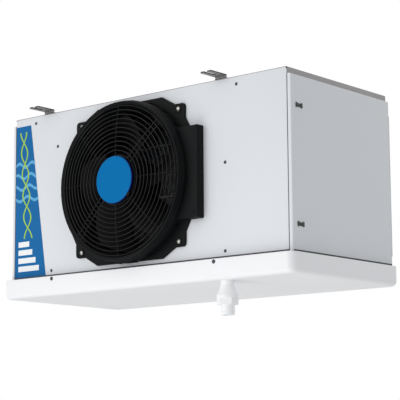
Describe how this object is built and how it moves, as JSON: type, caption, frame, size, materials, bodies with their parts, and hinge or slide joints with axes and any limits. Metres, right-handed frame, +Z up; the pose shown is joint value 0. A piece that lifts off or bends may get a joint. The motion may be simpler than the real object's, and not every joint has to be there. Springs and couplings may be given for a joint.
{
  "type": "walk-in unit cooler",
  "caption": "Ceiling-hung unit cooler with an axial fan in a guarded ring, a finned coil, a swing-down drain pan with a threaded outlet and hinged side covers.",
  "frame": {"origin": "centre of the hanging pattern: midway between the two rails and between their front and rear forks, at the ceiling plane on the rails' top faces", "axes": "+Z up; -Y the way the fan blows, out of the front; +X along the casing towards the pipe connection end"},
  "size_m": [0.945, 0.53, 0.571],
  "materials": {
    "white_paint": "satin white powder coat on sheet steel",
    "galvanised": "galvanised sheet",
    "fin_aluminium": "mill-finish aluminium fins",
    "copper": "drawn copper tube",
    "brass": "turned brass",
    "heater_steel": "stainless heater sheath",
    "pan_white": "glossy white moulded plastic",
    "drain_white": "white plastic fitting",
    "screw_steel": "zinc-plated screws",
    "black_plastic": "black moulded plastic, fine grain",
    "guard_black": "black coated wire",
    "motor_black": "black painted motor housing",
    "blade_black": "black moulded fan blades",
    "blue_cap": "bright blue plastic cap",
    "label_blue": "blue decal film",
    "rivet_grey": "blind rivets"
  },
  "bodies": {
    "casing": {"front_panel": "white_paint", "top_cover": "galvanised", "tube_plate_left": "galvanised", "tube_plate_right": "galvanised", "rear_strip_top": "white_paint", "rear_strip_bottom": "white_paint", "rear_closure_left": "white_paint", "rear_closure_right": "white_paint", "hanging_rail_left": "galvanised", "hanging_rail_right": "galvanised", "rail_bolts": "screw_steel", "coil_fins": "fin_aluminium", "coil_tubes": "copper", "coil_plate_top": "galvanised", "coil_plate_bottom": "galvanised", "return_bends_left": "copper", "return_bends_right": "copper", "suction_header": "copper", "suction_line": "copper", "liquid_distributor": "brass", "distributor_leads": "copper", "coil_heaters": "heater_steel", "pan_hinge_lugs": "galvanised", "cover_hinge_lugs": "galvanised", "fan_shroud": "black_plastic", "shroud_screws": "screw_steel", "terminal_box": "black_plastic", "fan_guard": "guard_black", "motor_stator": "motor_black", "fan_cap": "blue_cap", "panel_rivets": "rivet_grey", "front_label": "label_blue"},
    "drain_pan_body": {"drain_pan": "pan_white", "drain_spigot": "drain_white", "drain_nut": "drain_white", "pan_heater": "heater_steel", "pan_knuckles": "pan_white", "pan_screws": "screw_steel"},
    "left_cover_body": {"side_cover_left": "white_paint", "cover_screws_left": "screw_steel"},
    "right_cover_body": {"side_cover_right": "white_paint", "cover_screws_right": "screw_steel"},
    "fan_rotor": {"rotor_hub": "motor_black", "fan_blades": "blade_black"}
  },
  "joints": [
    {"name": "fan_spin", "type": "hinge", "parent": "casing", "child": "fan_rotor", "pos_m": [0, -0.2, -0.226], "axis": [0, -1, 0], "continuous": true},
    {"name": "pan_swing", "type": "hinge", "parent": "casing", "child": "drain_pan_body", "pos_m": [0, 0.218, -0.446], "axis": [1, 0, 0], "range_deg": [0, 80]},
    {"name": "left_cover_swing", "type": "hinge", "parent": "casing", "child": "left_cover_body", "pos_m": [-0.419, 0.197, -0.233], "axis": [0, 0, -1], "range_deg": [0, 95]},
    {"name": "right_cover_swing", "type": "hinge", "parent": "casing", "child": "right_cover_body", "pos_m": [0.492, 0.197, -0.233], "axis": [0, 0, 1], "range_deg": [0, 95]}
  ]
}
